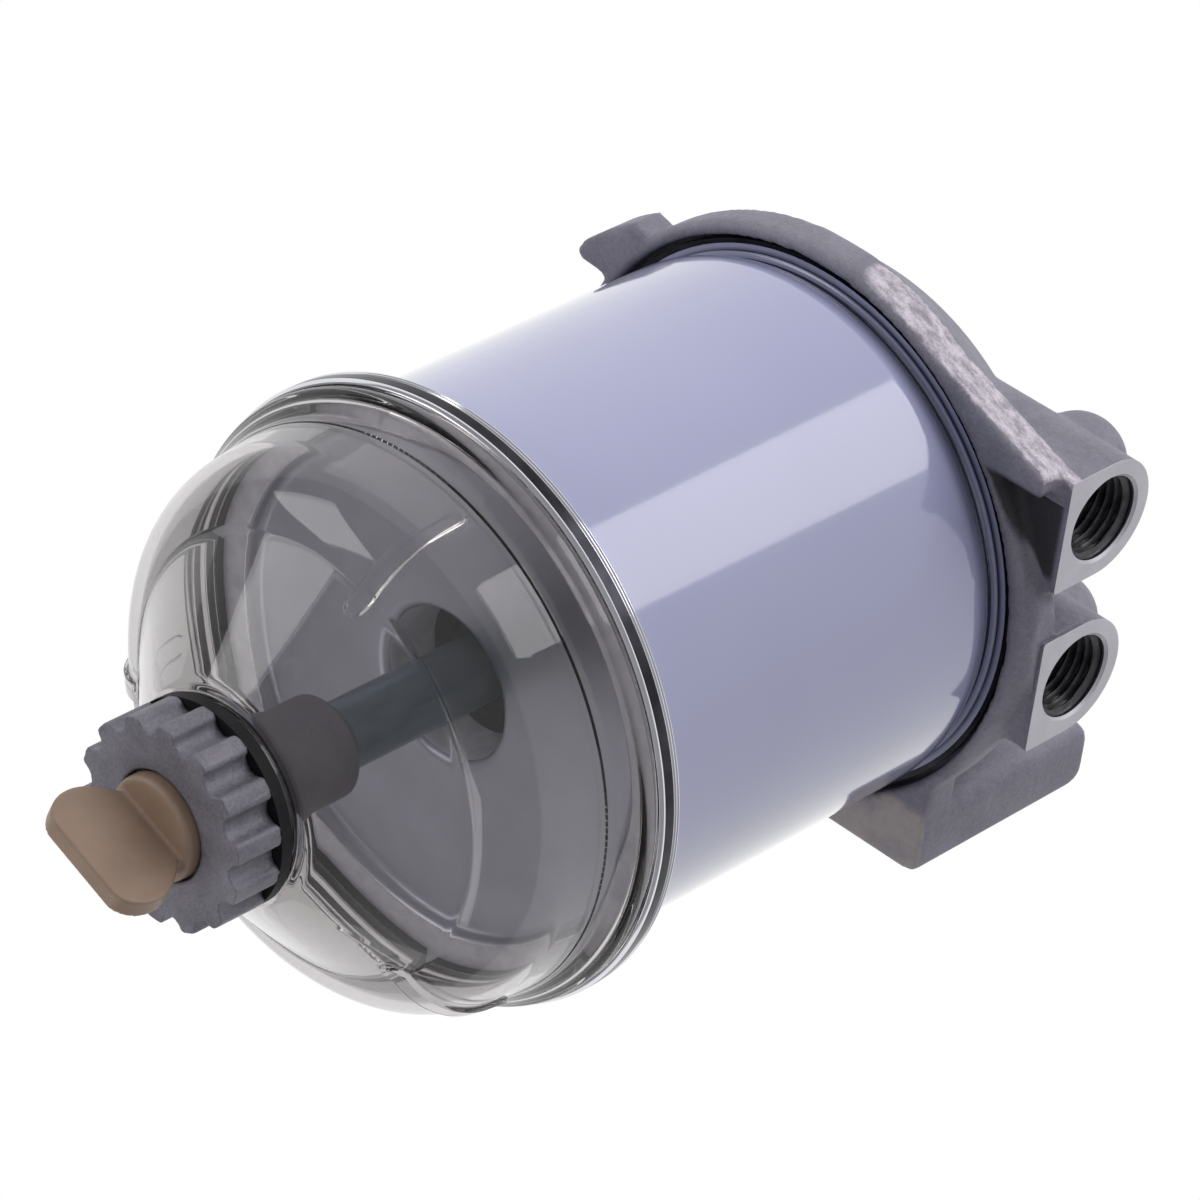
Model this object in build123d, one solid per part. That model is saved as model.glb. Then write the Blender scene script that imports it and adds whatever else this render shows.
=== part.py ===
from build123d import *
import math
import os

# Diesel fuel filter assembly: cast head, screw-together canister, clear sediment bowl, hand nut, drain screw.
# Millimetres. Every piece is drawn in the filter's own frame and moved to the mounting frame when written.
# Filter frame: Z is the filter's axis, pointing up to the head, with 0 at the lower end of the painted can.
# X points out of the fuel ports, Y points back to the mounting pad.

# Canister
CAN_H = 72.6
CAN_R = 43.0
CAN_WALL = 0.8
CAN_BEND_R = 10.24
CAN_BEND_DROP = 5.6
CAN_BEND_DEG = 34.5
CAN_HOLE_R = 12.4
SEAM_GAP = 0.05
TOP_RIM_PROUD = 0.8
TOP_RIM_R = CAN_R + TOP_RIM_PROUD
TOP_RIM_H = 1.8
TOP_PLATE_DROP = 2.8
PLATE_T = 1.0
INLET_COUNT = 8
INLET_R = 3.0
INLET_PITCH_R = 30.0
BOWL_LIP_PROUD = 3.4
BOWL_LIP_R = CAN_R + BOWL_LIP_PROUD
RIM_OVERHANG = 1.5
RIM_R = BOWL_LIP_R + RIM_OVERHANG
RIM_DROP = 3.6
RIM_CORNER = 0.12
RIM_CURL = (0.5, 0.6)
RIM_GROOVES = (0.4, 0.95)
RIM_GROOVE_W = 0.2
RIM_GROOVE_DEPTH = 0.25
PAN_INSET = 4.0
PAN_R = CAN_R - PAN_INSET
PAN_RISE = 2.2
PAN_SLOPE = 0.6
NECK_WALL_R = 11.9
NECK_BEND_R = 1.6
NECK_WALL_TOP_Z = 10.0

# Filter element inside the canister
ELEMENT_CLEARANCE = 5.0
ELEMENT_R = CAN_R - ELEMENT_CLEARANCE
ELEMENT_BOTTOM_Z = 6.0
LOWER_CAP_FIT = 0.05
ELEMENT_TOP_GAP = 2.4
END_CAP_T = 1.2
END_CAP_LIP = 3.0
END_CAP_RIM = 1.0
PAPER_GAP = 0.2
CORE_R = 14.0
CORE_WALL = 0.8
CORE_HOLE_R = 2.0
CORE_HOLE_ROWS = 7
CORE_HOLES_ROUND = 8
PLEATS = 36
PLEAT_T = 1.6
COLLAR_R = 10.6
COLLAR_WALL = 1.0

# Head casting
FLANGE_Z = CAN_H
FLANGE_T = 6.8
RECESS_CLEARANCE = 0.9
RECESS_R = TOP_RIM_R + RECESS_CLEARANCE
FLANGE_LAND = 1.2
FLANGE_LOW_R = RECESS_R + FLANGE_LAND
FLANGE_BEVEL = 1.0
FLANGE_R = FLANGE_LOW_R + FLANGE_BEVEL
FLANGE_EDGE_H = 1.6
RECESS_DEPTH = 5.0
EAR_TANGENT_DEG = -68.0
EAR_BLEND = 0.6
RIGHT_EAR = ((46.4, -31.5), (46.4, -28.4))
LEFT_EAR = ((-36.9, -33.6), (-40.6, -31.0), (-44.1, -27.8), (-46.2, -25.9), (-47.2, -24.0), (-46.6, -22.7))
LEFT_EAR_ROOT = ((-33.4, -32.6), (-41.6, -22.3))
SHELF = ((44.5, -12.5), (47.4, -10.0), (48.6, -6.5), (48.9, -2.6), (48.3, 3.0), (46.4, 11.0), (44.0, 17.8),
         (40.0, 24.6), (36.0, 30.0), (35.6, 36.0))
SHELF_CHAMFER = 2.6
DOME_FOOT_R = 45.8
DOME_SINK = 3.0
DOME_STEP = 0.5
DOME_SHOULDER = (39.4, FLANGE_Z + 15.8)
DOME_BEND = (37.0, FLANGE_Z + 18.0)
DOME_CROWN = (32.0, FLANGE_Z + 20.3)
DOME_TOP_R = 18.0
DOME_TOP_Z = FLANGE_Z + 25.4
TUBE_BOSS_R = 12.0
TUBE_BOSS_TOP_Z = FLANGE_Z + 34.4
GALLERY_R = 10.0
GALLERY_TOP_Z = FLANGE_Z + 19.4

# Fuel ports
PORT_FACE_X = 49.0
PORT_Z = FLANGE_Z + 13.4
PORT_YS = (-21.2, 7.2)
PORT_BLOCK_HALF = 9.8
PORT_BLOCK_DEPTH = 9.3
PORT_ROOT_X = 12.0
PORT_R = 7.0
PORT_DEPTH = 14.0
PORT_CHAMFER = 0.4
DRILLING_R = 4.2
OUTER_DROP_X = 27.0
RISER_X = 36.3
RISER_R = 7.6
RISER_TOP_Z = FLANGE_Z + 29.0
RISER_ROUND = 7.0

# Mounting pad at the back of the head
PAD_Y = 46.4
PAD_T = 11.5
PAD_HALF_X = 35.6
PAD_H = 39.8
PAD_EDGE_R = 3.2
PAD_CORNER_R = 1.8
PAD_FOOT = ((-40.0, 21.0), (-35.6, 30.0), (-35.6, 38.0), (30.0, 38.0), (30.0, 28.0), (0.0, 28.0))
WEB_HALF_X = 22.0
WEB_H = 28.0
WEB_SLOPE_DEG = 32.0
WEB_CUT = (40.0, 25.0)
MOUNT_SPACING = 50.0
MOUNT_HOLE_R = 5.0
MOUNT_HOLE_DEPTH = 9.0

# Centre tube and the thread that holds the bowl
TUBE_R = 5.2
TUBE_BORE_R = 3.0
TUBE_TOP_Z = FLANGE_Z + 30.4
TUBE_END_GAP = 0.5
TUBE_FOOT_RISE = 8.5
THREAD_CLEAR = 0.06

# Rubber seals
HEAD_SEAL_T = 1.4
HEAD_SEAL_W = 5.0
TOP_SEAL_W = 2.6
BOWL_SEAL_T = 1.4
BOWL_SEAL_W = 1.5
NUT_SEAL_T = 2.0
NUT_SEAL_R = 16.0
GROMMET_FACE_Z = 8.2
GROMMET_LIP_T = 1.1
RUBBER_GAP = 0.3

# Sediment bowl
BOWL_WALL = 2.4
BEAD_PROUD = 0.8
BEAD_R = BOWL_LIP_R + BEAD_PROUD
BEAD_TOP_Z = -4.0
BEAD_H = 1.5
BEAD_ROUND = 0.5
BEAD_FOOT = (0.9, 0.9)
BOWL_SIDE = (44.1, -9.6)
SHOULDER = (43.2, -16.0)
SHOULDER_MID = (41.0, -22.2)
SHOULDER_MID_DEG = 32.0
CONE = (34.2, -26.9)
CONE_DEG = 49.0
FOOT_Z = -43.5
CONE_FOOT = (16.6, FOOT_Z + 1.3)
FOOT_R = 15.4
BOWL_HOLE_R = 8.3
COLLAR_RISE = 4.9
RIB_COUNT = 3
RIB_FIRST_DEG = -74.0
RIB_W = 3.4
RIB_PROUD = 0.8
RIB_ROOT = 0.8
RIB_TOP_Z = -12.0
RIB_BOTTOM_R = 31.0

# Hand nut
NUT_R = 16.1
NUT_H = 8.2
NUT_LOBES = 14
NUT_GROOVE_R = 1.9
NUT_GROOVE_AT = 16.0
NUT_PHASE_DEG = -1.6
NUT_EDGE_R = 0.8
NECK_R = 7.9
NECK_RISE = 22.7
NECK_CHAMFER = 2.2
NUT_SEAT_RISE = 3.5
DRAIN_PASSAGE_R = 2.4
WATER_HOLE_R = 1.3
WATER_HOLE_RISE = 4.9
NECK_SEAL_RISE = 18.9
NECK_SEAL_T = 1.8
NECK_SEAL_W = 1.4

# Drain screw
SHANK_R = 4.0
SHANK_TOP_RISE = 0.3
DRAIN_CONE_H = 2.2
DRAIN_CONE_GAP = 0.4
DISC_R = 8.0
DISC_T = 2.8
DISC_SINK = 1.0
DISC_EDGE_R = 0.8
DISC_RECESS_R = 8.4
DRAIN_SEAL_T = 1.2
DRAIN_SEAL_R = 6.6
DRAIN_SEAL_FIT = 0.1
PADDLE_DEG = 20.0
PADDLE_T = 3.2
PADDLE_ROOT_W = 5.6
PADDLE_SINK = 0.5
PADDLE_WAIST = 1.4
PADDLE_W = 10.4
PADDLE_WIDE_Z = 9.0
PADDLE_TIP_W = 6.4
PADDLE_TIP_ROUND = (2.2, 1.0)
PADDLE_TIP_Z = 14.4

# Values that follow from the sizes above
RECESS_TOP_Z = FLANGE_Z + RECESS_DEPTH
TOP_RIM_Z = FLANGE_Z + TOP_RIM_H
FLANGE_TOP_Z = FLANGE_Z + FLANGE_T
PAD_TOP_Z = FLANGE_Z + PAD_H
HEAD_SEAL_BOTTOM_Z = RECESS_TOP_Z - HEAD_SEAL_T
CAN_TOP_Z = HEAD_SEAL_BOTTOM_Z - PLATE_T
TOP_PLATE_Z = CAN_TOP_Z - TOP_PLATE_DROP
ELEMENT_TOP_Z = TOP_PLATE_Z - PLATE_T - ELEMENT_TOP_GAP
BOWL_LIP_Z = -PLATE_T - BOWL_SEAL_T
CAN_BEND_Z = FLANGE_Z - CAN_BEND_DROP
CAN_INNER_R = CAN_R - CAN_WALL
FLARE_IN_Z = TOP_RIM_Z + CAN_WALL / 2
COLLAR_TOP_Z = FOOT_Z + COLLAR_RISE
TUBE_BOTTOM_Z = FOOT_Z + TUBE_FOOT_RISE
NECK_TOP_Z = FOOT_Z + NECK_RISE
NUT_SEAT_Z = FOOT_Z + NUT_SEAT_RISE
WATER_HOLE_Z = FOOT_Z + WATER_HOLE_RISE
NECK_SEAL_Z = FOOT_Z + NECK_SEAL_RISE
SHANK_TOP_Z = FOOT_Z + SHANK_TOP_RISE
NUT_TOP_Z = FOOT_Z - NUT_SEAL_T
NUT_FACE_Z = NUT_TOP_Z - NUT_H
DISC_TOP_Z = NUT_FACE_Z + DISC_SINK
MOUNT_CENTRE = Vector(0, PAD_Y, FLANGE_Z + PAD_H / 2)


def ring(outer_r, inner_r, z_bottom, z_top):
    """A plain ring round the filter's axis."""
    height = z_top - z_bottom
    place = Pos(0, 0, z_bottom + height / 2)
    return place * (Cylinder(outer_r, height) - Cylinder(inner_r, height + 1))


def rod(radius, z_bottom, z_top):
    """A plain cylinder on the filter's axis."""
    height = z_top - z_bottom
    return Pos(0, 0, z_bottom + height / 2) * Cylinder(radius, height)


def drilling_x(radius, x_from, x_to, y, z):
    """A cylinder along X, used for bosses and drillings."""
    length = x_to - x_from
    return Pos((x_from + x_to) / 2, y, z) * Rot(0, 90, 0) * Cylinder(radius, length)


def block(x0, x1, y0, y1, z0, z1):
    """A box given by its lowest and highest corners."""
    return Pos((x0 + x1) / 2, (y0 + y1) / 2, (z0 + z1) / 2) * Box(x1 - x0, y1 - y0, z1 - z0)


def turned(points):
    """A solid turned about the filter's axis from a closed outline of (radius, height) corners."""
    outline = Polyline(*[(r, 0, z) for r, z in points], close=True)
    return revolve(make_face(outline), Axis.Z)


def plan_plate(points, z_bottom, z_top):
    """A plate cut to an outline in plan."""
    outline = Polyline(*[(x, y, z_bottom) for x, y in points], close=True)
    return extrude(make_face(outline), z_top - z_bottom, dir=(0, 0, 1))


def on_circle(radius, degrees):
    """A point in plan on a circle round the filter's axis."""
    angle = math.radians(degrees)
    return (radius * math.cos(angle), radius * math.sin(angle))


# Head casting: flange, ears, port blocks, risers, dome and mounting pad in one piece
def flange():
    edge_z = FLANGE_Z + FLANGE_EDGE_H
    plate = turned([(0, FLANGE_Z), (FLANGE_LOW_R, FLANGE_Z), (FLANGE_R, edge_z), (FLANGE_R, FLANGE_TOP_Z),
                    (0, FLANGE_TOP_Z)])
    start = on_circle(FLANGE_R - EAR_BLEND, EAR_TANGENT_DEG)
    right_ear = [(0, RIGHT_EAR[-1][1]), (start[0] / 2, start[1]), start, *RIGHT_EAR]
    left_ear = [(-FLANGE_R / 2, RIGHT_EAR[-1][1]), LEFT_EAR_ROOT[0], *LEFT_EAR, LEFT_EAR_ROOT[1]]
    plate += plan_plate(right_ear, FLANGE_Z, FLANGE_TOP_Z)
    plate += plan_plate(left_ear, FLANGE_Z, FLANGE_TOP_Z)
    plate += shelf()
    plate += plan_plate(PAD_FOOT, FLANGE_Z, FLANGE_TOP_Z)
    return plate - block(-FLANGE_R, FLANGE_R, PAD_Y - PAD_T / 2, FLANGE_R + 1, FLANGE_Z - 1, FLANGE_TOP_Z + 1)


def shelf():
    """The web under the ports, its lower outer edge sloped back to the flange."""
    root = (FLANGE_R / 2, 0)
    plate = plan_plate([root, *SHELF, (0, SHELF[-1][1])], FLANGE_Z, FLANGE_TOP_Z)
    low_edges = plate.edges().group_by(Axis.Z)[0].filter_by(lambda e: e.center().X > SHELF[0][0])
    return chamfer(low_edges, SHELF_CHAMFER)


def dome():
    foot_z = FLANGE_TOP_Z - DOME_SINK
    foot = (DOME_FOOT_R, 0, FLANGE_TOP_Z + DOME_STEP)
    shoulder, bend, crown = [(r, 0, z) for r, z in (DOME_SHOULDER, DOME_BEND, DOME_CROWN)]
    chain = [crown, (DOME_TOP_R, 0, DOME_TOP_Z), (0, 0, DOME_TOP_Z), (0, 0, foot_z), (DOME_FOOT_R, 0, foot_z),
             foot, shoulder]
    outline = [Line(a, b) for a, b in zip(chain, chain[1:])] + [ThreePointArc(shoulder, bend, crown)]
    return revolve(make_face(Wire(outline)), Axis.Z) + rod(TUBE_BOSS_R, GALLERY_TOP_Z, TUBE_BOSS_TOP_Z)


def port_block(y):
    low, high = y - PORT_BLOCK_HALF, y + PORT_BLOCK_HALF
    floor_z, crown_z = PORT_Z - PORT_BLOCK_DEPTH, PORT_Z + PORT_BLOCK_HALF
    outline = [
        Line((PORT_FACE_X, low, PORT_Z), (PORT_FACE_X, low, floor_z)),
        Line((PORT_FACE_X, low, floor_z), (PORT_FACE_X, high, floor_z)),
        Line((PORT_FACE_X, high, floor_z), (PORT_FACE_X, high, PORT_Z)),
        ThreePointArc((PORT_FACE_X, high, PORT_Z), (PORT_FACE_X, y, crown_z), (PORT_FACE_X, low, PORT_Z)),
    ]
    return extrude(make_face(Wire(outline)), PORT_FACE_X - PORT_ROOT_X, dir=(-1, 0, 0))


def riser(y):
    height = RISER_TOP_Z - FLANGE_TOP_Z + 1
    post = Pos(RISER_X, y, RISER_TOP_Z - height / 2) * Cylinder(RISER_R, height)
    return fillet(post.edges().sort_by(Axis.Z)[-1], RISER_ROUND)


def pad():
    front_y = PAD_Y - PAD_T
    plate = block(-PAD_HALF_X, PAD_HALF_X, front_y, PAD_Y, FLANGE_Z, PAD_TOP_Z)
    back_top = plate.edges().filter_by(Axis.X).sort_by(Axis.Z)[-2:].sort_by(Axis.Y)[-1]
    plate = fillet(back_top, PAD_EDGE_R)
    back_sides = plate.edges().filter_by(Axis.Z).sort_by(Axis.Y)[-2:]
    plate = fillet(back_sides, PAD_CORNER_R)
    front_sides = plate.edges().filter_by(Axis.Z).sort_by(Axis.Y)[:2]
    plate = fillet(front_sides, PAD_EDGE_R)
    web = block(-WEB_HALF_X, WEB_HALF_X, 0, front_y + 1, FLANGE_TOP_Z - 1, FLANGE_TOP_Z + WEB_H)
    reach, rear = WEB_CUT
    above = block(-reach, reach, -reach, rear, 0, reach)
    sloped_top = Pos(0, 0, FLANGE_TOP_Z + WEB_H) * Rot(-WEB_SLOPE_DEG, 0, 0) * above
    return plate + (web - sloped_top)


def port_cuts(y):
    mouth = PORT_FACE_X - PORT_DEPTH
    cut = drilling_x(PORT_R, mouth, PORT_FACE_X + 1, y, PORT_Z)
    chamfer_cone = Pos(PORT_FACE_X - PORT_CHAMFER / 2, y, PORT_Z) * Rot(0, 90, 0) * Cone(
        PORT_R, PORT_R + PORT_CHAMFER, PORT_CHAMFER)
    return cut + chamfer_cone


def head_cuts():
    front_y, rear_y = PORT_YS
    inner_end = PORT_FACE_X - PORT_DEPTH + 1
    cuts = rod(RECESS_R, FLANGE_Z - 1, RECESS_TOP_Z)
    cuts += rod(GALLERY_R, FLANGE_Z, GALLERY_TOP_Z)
    cuts += rod(TUBE_R + SEAM_GAP, GALLERY_TOP_Z - 1, TUBE_TOP_Z + TUBE_END_GAP)
    cuts += port_cuts(front_y)
    cuts += port_cuts(rear_y)
    cuts += drilling_x(DRILLING_R, OUTER_DROP_X, inner_end, front_y, PORT_Z)
    cuts += Pos(OUTER_DROP_X, front_y, (FLANGE_Z + PORT_Z) / 2) * Cylinder(DRILLING_R, PORT_Z - FLANGE_Z)
    cuts += drilling_x(DRILLING_R, GALLERY_R / 2, inner_end, rear_y, PORT_Z)
    for side in (-1, 1):
        hole = Pos(side * MOUNT_SPACING / 2, PAD_Y - MOUNT_HOLE_DEPTH / 2, MOUNT_CENTRE.Z)
        cuts += hole * Rot(90, 0, 0) * Cylinder(MOUNT_HOLE_R, MOUNT_HOLE_DEPTH)
    return cuts


def filter_head():
    casting = flange() + dome() + pad()
    for y in PORT_YS:
        casting += port_block(y)
        casting += riser(y)
    return casting - head_cuts()


# Canister: painted shell with a waist under the head, tinned top plate, tinned bottom plate with its rim
def can_bend_point(inset, degrees):
    """A point on the can's rounded shoulder, inset from its outer face, degrees up from the straight wall."""
    angle = math.radians(degrees)
    radius = CAN_BEND_R - inset
    return (CAN_R - CAN_BEND_R + radius * math.cos(angle), 0, CAN_BEND_Z + radius * math.sin(angle))


def can_bend(inset):
    return ThreePointArc(*[can_bend_point(inset, CAN_BEND_DEG * part) for part in (0, 0.5, 1)])


def canister_shell():
    outer, inner = can_bend(0), can_bend(CAN_WALL)
    waist = inner @ 1
    flare = [
        outer @ 1, (CAN_R, 0, TOP_RIM_Z), (CAN_R, 0, CAN_TOP_Z), (CAN_INNER_R, 0, CAN_TOP_Z),
        (CAN_INNER_R, 0, FLARE_IN_Z), (waist.X, 0, waist.Z + CAN_WALL), waist]
    wall = [inner @ 0, (CAN_INNER_R, 0, 0), (CAN_R, 0, 0), outer @ 0]
    lines = [Line(a, b) for chain in (flare, wall) for a, b in zip(chain, chain[1:])]
    return revolve(make_face(Wire([outer, inner] + lines)), Axis.Z)


def canister_top_plate():
    waist = can_bend(CAN_WALL) @ 1
    rim_top_z = HEAD_SEAL_BOTTOM_Z
    inner_r = CAN_INNER_R - SEAM_GAP
    waist_r = waist.X - 2 * SEAM_GAP
    waist_z = waist.Z + CAN_WALL
    fold_r = inner_r - PLATE_T
    skirt_r = CAN_R + SEAM_GAP
    plate = turned([
        (CAN_HOLE_R, TOP_PLATE_Z - PLATE_T), (waist_r, TOP_PLATE_Z - PLATE_T), (waist_r, waist_z + SEAM_GAP),
        (inner_r, FLARE_IN_Z + SEAM_GAP), (inner_r, CAN_TOP_Z), (skirt_r, CAN_TOP_Z), (skirt_r, TOP_RIM_Z),
        (TOP_RIM_R, TOP_RIM_Z), (TOP_RIM_R, rim_top_z), (fold_r, rim_top_z), (fold_r, CAN_TOP_Z),
        (waist_r - PLATE_T, waist_z + CAN_WALL / 2), (waist_r - PLATE_T, TOP_PLATE_Z),
        (CAN_HOLE_R, TOP_PLATE_Z)])
    hole = Pos(0, 0, TOP_PLATE_Z) * Cylinder(INLET_R, 4 * PLATE_T)
    for turn in range(INLET_COUNT):
        plate -= Rot(0, 0, 360 / INLET_COUNT * turn) * Pos(INLET_PITCH_R, 0, 0) * hole
    return plate


def neck_bend(radius):
    """The quarter turn from the pan up into its neck."""
    centre_r = NECK_WALL_R + NECK_BEND_R
    centre_z = PAN_RISE - PLATE_T + NECK_BEND_R
    lean = radius * math.sqrt(0.5)
    return ThreePointArc((centre_r, 0, centre_z - radius), (centre_r - lean, 0, centre_z - lean),
                         (centre_r - radius, 0, centre_z))


def canister_bottom_plate():
    skirt_r = RIM_R - PLATE_T
    curl_r, curl_h = RIM_CURL
    under, over = neck_bend(NECK_BEND_R), neck_bend(NECK_BEND_R - PLATE_T)
    rim = [(RIM_R - curl_r, -RIM_DROP), (RIM_R, -RIM_DROP + curl_h)]
    for depth in reversed(RIM_GROOVES):
        low_z, high_z = -depth - RIM_GROOVE_W, -depth + RIM_GROOVE_W
        rim += [(RIM_R, low_z), (RIM_R - RIM_GROOVE_DEPTH, -depth), (RIM_R, high_z)]
    rim += [(RIM_R, -RIM_CORNER), (RIM_R - RIM_CORNER, 0)]
    pan = [under @ 0, (PAN_R, 0, PAN_RISE - PLATE_T), (PAN_R + PLATE_T, 0, -PLATE_T), (skirt_r, 0, -PLATE_T),
           (skirt_r, 0, -RIM_DROP)]
    pan += [(r, 0, z) for r, z in rim]
    pan += [(PAN_R + PLATE_T + PAN_SLOPE, 0, 0), (PAN_R + PAN_SLOPE, 0, PAN_RISE), over @ 0]
    neck_outer_r = NECK_WALL_R + PLATE_T
    neck = [over @ 1, (neck_outer_r, 0, NECK_WALL_TOP_Z), (NECK_WALL_R, 0, NECK_WALL_TOP_Z), under @ 1]
    lines = [Line(a, b) for chain in (pan, neck) for a, b in zip(chain, chain[1:])]
    return revolve(make_face(Wire([under, over] + lines)), Axis.Z)


# Filter element: two pressed caps, the pleated paper and the perforated core
def end_cap(hole_r, z_bottom, lip_from, lip_to):
    rim_r = ELEMENT_R + END_CAP_RIM
    disc = ring(rim_r, hole_r, z_bottom, z_bottom + END_CAP_T)
    lip = ring(rim_r, ELEMENT_R + PAPER_GAP, lip_from, lip_to)
    return disc + lip


def upper_end_cap():
    z = ELEMENT_TOP_Z
    hole_r = COLLAR_R - COLLAR_WALL
    cap = end_cap(hole_r, z, z - END_CAP_LIP, z + END_CAP_T)
    return cap + ring(COLLAR_R, hole_r, z, HEAD_SEAL_BOTTOM_Z - RUBBER_GAP)


def lower_end_cap():
    z = ELEMENT_BOTTOM_Z
    return end_cap(NECK_WALL_R + PLATE_T + LOWER_CAP_FIT, z - END_CAP_T, z - END_CAP_T, z + END_CAP_LIP)


def perforated_core():
    core = ring(CORE_R, CORE_R - CORE_WALL, ELEMENT_BOTTOM_Z, ELEMENT_TOP_Z)
    pitch = (ELEMENT_TOP_Z - ELEMENT_BOTTOM_Z) / CORE_HOLE_ROWS
    for row in range(CORE_HOLE_ROWS):
        z = ELEMENT_BOTTOM_Z + pitch * (row + 0.5)
        for turn in range(CORE_HOLES_ROUND // 2):
            angle = 360 / CORE_HOLES_ROUND * (turn + row % 2 / 2)
            core -= Rot(0, 0, angle) * drilling_x(CORE_HOLE_R, -CORE_R - 1, CORE_R + 1, 0, z)
    return core


def filter_paper():
    inner_r = CORE_R + RUBBER_GAP
    half_pitch = 180 / PLEATS
    outer, inner = [], []
    for fold in range(2 * PLEATS):
        at_tip = fold % 2 == 0
        outer.append(on_circle(ELEMENT_R if at_tip else inner_r + PLEAT_T, half_pitch * fold))
        inner.append(on_circle(ELEMENT_R - 2 * PLEAT_T if at_tip else inner_r, half_pitch * fold))
    pack = plan_plate(outer, ELEMENT_BOTTOM_Z, ELEMENT_TOP_Z)
    return pack - plan_plate(inner, ELEMENT_BOTTOM_Z - 1, ELEMENT_TOP_Z + 1)


# Rubber seals
def head_seal_ring():
    outer_r = TOP_RIM_R - RUBBER_GAP
    return ring(outer_r, outer_r - HEAD_SEAL_W, HEAD_SEAL_BOTTOM_Z, RECESS_TOP_Z)


def top_centre_seal():
    top = RECESS_TOP_Z
    return ring(COLLAR_R + TOP_SEAL_W, GALLERY_R + PAPER_GAP, top - HEAD_SEAL_T, top)


def bottom_grommet():
    inner_r = TUBE_R + SEAM_GAP
    neck_r = NECK_WALL_R - SEAM_GAP
    lip_top_z = NECK_WALL_TOP_Z + GROMMET_LIP_T
    return turned([
        (inner_r, GROMMET_FACE_Z), (neck_r, GROMMET_FACE_Z), (neck_r, NECK_WALL_TOP_Z),
        (NECK_WALL_R + PLATE_T, NECK_WALL_TOP_Z), (NECK_WALL_R + PLATE_T, lip_top_z), (inner_r, lip_top_z)])


def bowl_seal_ring():
    return ring(BOWL_LIP_R, BOWL_LIP_R - BOWL_SEAL_W, BOWL_LIP_Z, -PLATE_T)


def nut_seal_washer():
    return ring(NUT_SEAL_R, NECK_R + RUBBER_GAP, NUT_TOP_Z, FOOT_Z)


def drain_o_ring():
    return ring(DRAIN_SEAL_R, SHANK_R + DRAIN_SEAL_FIT, DISC_TOP_Z, DISC_TOP_Z + DRAIN_SEAL_T)


def neck_o_ring():
    outer_r = TUBE_R + NECK_SEAL_W
    return ring(outer_r, TUBE_R + THREAD_CLEAR, NECK_SEAL_Z - NECK_SEAL_T / 2, NECK_SEAL_Z + NECK_SEAL_T / 2)


# Centre tube: threaded steel pipe from the head's boss down into the hand nut
def centre_tube():
    return ring(TUBE_R, TUBE_BORE_R, TUBE_BOTTOM_Z, TUBE_TOP_Z)


# Sediment bowl: clear moulding with a beaded lip, rounded shoulder, conical floor and three grip ribs
def moved_in(point, degrees, inset):
    """A corner of the bowl's half section moved inwards, square to a wall that faces down by degrees."""
    angle = math.radians(degrees)
    return (point[0] - inset * math.cos(angle), 0, point[1] + inset * math.sin(angle))


def bowl_wall_curves(inset):
    """The bowl's side, rounded shoulder and cone in half section, moved inwards by inset."""
    side = moved_in(BOWL_SIDE, 0, inset)
    shoulder = moved_in(SHOULDER, 0, inset)
    middle = moved_in(SHOULDER_MID, SHOULDER_MID_DEG, inset)
    cone = moved_in(CONE, CONE_DEG, inset)
    foot = moved_in(CONE_FOOT, CONE_DEG, inset)
    return side, foot, [Line(side, shoulder), ThreePointArc(shoulder, middle, cone), Line(cone, foot)]


def bowl_rib(degrees):
    outer_side, outer_foot, outer = bowl_wall_curves(-RIB_PROUD)
    inner_side, inner_foot, inner = bowl_wall_curves(RIB_ROOT)
    ends = [Line(outer_side, inner_side), Line(outer_foot, inner_foot)]
    skin = revolve(make_face(Wire(outer + inner + ends)), Axis.Z)
    half = RIB_W / 2
    top_z = RIB_TOP_Z - half
    low_x = RIB_BOTTOM_R + half
    bar = block(low_x, BEAD_R, -half, half, FOOT_Z, top_z)
    bar += Pos(low_x, 0, (FOOT_Z + top_z) / 2) * Cylinder(half, top_z - FOOT_Z)
    bar += drilling_x(half, low_x, BEAD_R, 0, top_z)
    return skin & (Rot(0, 0, degrees) * bar)


def sediment_bowl():
    outer_side, outer_foot, outer = bowl_wall_curves(0)
    inner_side, inner_foot, inner = bowl_wall_curves(BOWL_WALL)
    lip_inner_r = BOWL_LIP_R - BOWL_WALL
    bead_low_z = BEAD_TOP_Z - BEAD_H
    foot_in, foot_down = BEAD_FOOT
    bead_foot = (BEAD_R - foot_in, 0, bead_low_z - foot_down)
    lip = [
        inner_side, (lip_inner_r, 0, bead_low_z), (lip_inner_r, 0, BOWL_LIP_Z), (BOWL_LIP_R, 0, BOWL_LIP_Z),
        (BOWL_LIP_R, 0, BEAD_TOP_Z), (BEAD_R - BEAD_ROUND, 0, BEAD_TOP_Z),
        (BEAD_R, 0, BEAD_TOP_Z - BEAD_ROUND), (BEAD_R, 0, bead_low_z), bead_foot, outer_side]
    collar_r = BOWL_HOLE_R + BOWL_WALL
    foot = [
        outer_foot, (FOOT_R, 0, outer_foot[2]), (FOOT_R, 0, FOOT_Z), (BOWL_HOLE_R, 0, FOOT_Z),
        (BOWL_HOLE_R, 0, COLLAR_TOP_Z), (collar_r, 0, COLLAR_TOP_Z), (collar_r, 0, inner_foot[2]), inner_foot]
    lines = [Line(a, b) for chain in (lip, foot) for a, b in zip(chain, chain[1:])]
    bowl = revolve(make_face(Wire(outer + inner + lines)), Axis.Z)
    for turn in range(RIB_COUNT):
        bowl += bowl_rib(RIB_FIRST_DEG + 360 / RIB_COUNT * turn)
    return bowl


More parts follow.
